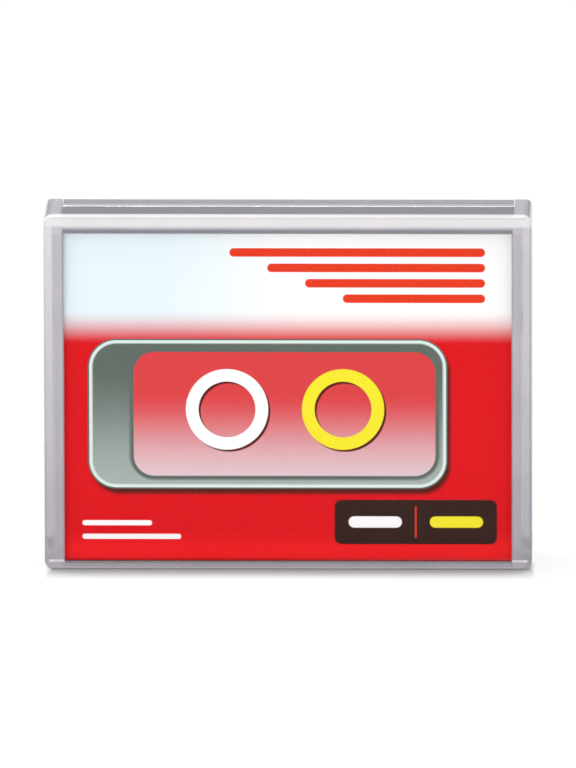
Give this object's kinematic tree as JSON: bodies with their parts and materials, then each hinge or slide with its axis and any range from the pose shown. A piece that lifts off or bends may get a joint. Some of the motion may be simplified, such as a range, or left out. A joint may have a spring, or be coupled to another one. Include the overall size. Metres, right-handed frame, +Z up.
{
  "type": "data tape cartridge in a hinged case",
  "caption": "Slim clear hinged case with a folded inlay card behind its front, holding a 4 mm data tape cartridge with reels, slider, front door and brake.",
  "frame": {"origin": "centre of the closed case's bounding box at its base, the face of the spine wall on which it stands", "axes": "+Z up to the opening edge, -Y out of the front panel, +X to the right as seen from the front"},
  "size_m": [0.084, 0.0152, 0.0624],
  "materials": {
    "case_clear": "clear moulded polystyrene with a faint grey-violet tint",
    "card": "coated card, printed in fields of colour",
    "shell": "fine textured black moulding",
    "door": "fine textured black moulding",
    "slider": "satin grey moulding",
    "clear_window": "clear moulded pane",
    "label": "matt white label",
    "hub": "natural white acetal",
    "tape": "dark brown coated film",
    "sheet": "grey slip film",
    "brake": "natural acetal",
    "tab": "orange-red tab",
    "steel": "bright steel",
    "prism": "clear prism"
  },
  "bodies": {
    "cover": {"front_cover": "case_clear", "inlay_card": "card"},
    "tray": {"rear_tray": "case_clear", "lower_shell": "shell", "upper_shell": "shell", "window": "clear_window", "main_label": "label", "edge_label": "label", "front_door": "door", "door_spring": "steel", "tape_span": "tape", "guide_pin_left": "steel", "guide_pin_right": "steel", "lower_slip_sheet": "sheet", "upper_slip_sheet": "sheet", "brake_spring": "steel", "shell_screws": "steel", "light_prism_left": "prism", "light_prism_right": "prism"},
    "slider": {"slider": "slider"},
    "supply_reel": {"supply_hub": "hub", "supply_leader_clamp": "hub", "supply_tape_pack": "tape"},
    "takeup_reel": {"takeup_hub": "hub", "takeup_leader_clamp": "hub", "takeup_tape_pack": "tape"},
    "brake": {"brake_plate": "brake"},
    "write_protect": {"write_protect_tab": "tab"}
  },
  "joints": [
    {"name": "tray_hinge", "type": "hinge", "parent": "cover", "child": "tray", "pos_m": [0, 0.0051, 0.0029], "axis": [-1, 0, 0], "range_deg": [0, 90]},
    {"name": "slider_slide", "type": "slide", "parent": "tray", "child": "slider", "axis": [0, 0, -1], "range_m": [0, 0.01]},
    {"name": "supply_spin", "type": "hinge", "parent": "tray", "child": "supply_reel", "pos_m": [-0.015, 0, 0.02525], "axis": [0, 1, 0], "continuous": true},
    {"name": "takeup_spin", "type": "hinge", "parent": "tray", "child": "takeup_reel", "pos_m": [0.015, 0, 0.02525], "axis": [0, 1, 0], "continuous": true},
    {"name": "brake_slide", "type": "slide", "parent": "tray", "child": "brake", "axis": [0, 0, -1], "range_m": [0, 0.001], "stiffness_N_per_m": 100, "springref_m": -0.003, "deforming": ["brake_spring"]},
    {"name": "write_protect_slide", "type": "slide", "parent": "tray", "child": "write_protect", "axis": [1, 0, 0], "range_m": [0, 0.0036]}
  ],
  "couplings": [
    {"joint": "takeup_spin", "follows": "supply_spin", "ratio": 2.3987}
  ]
}
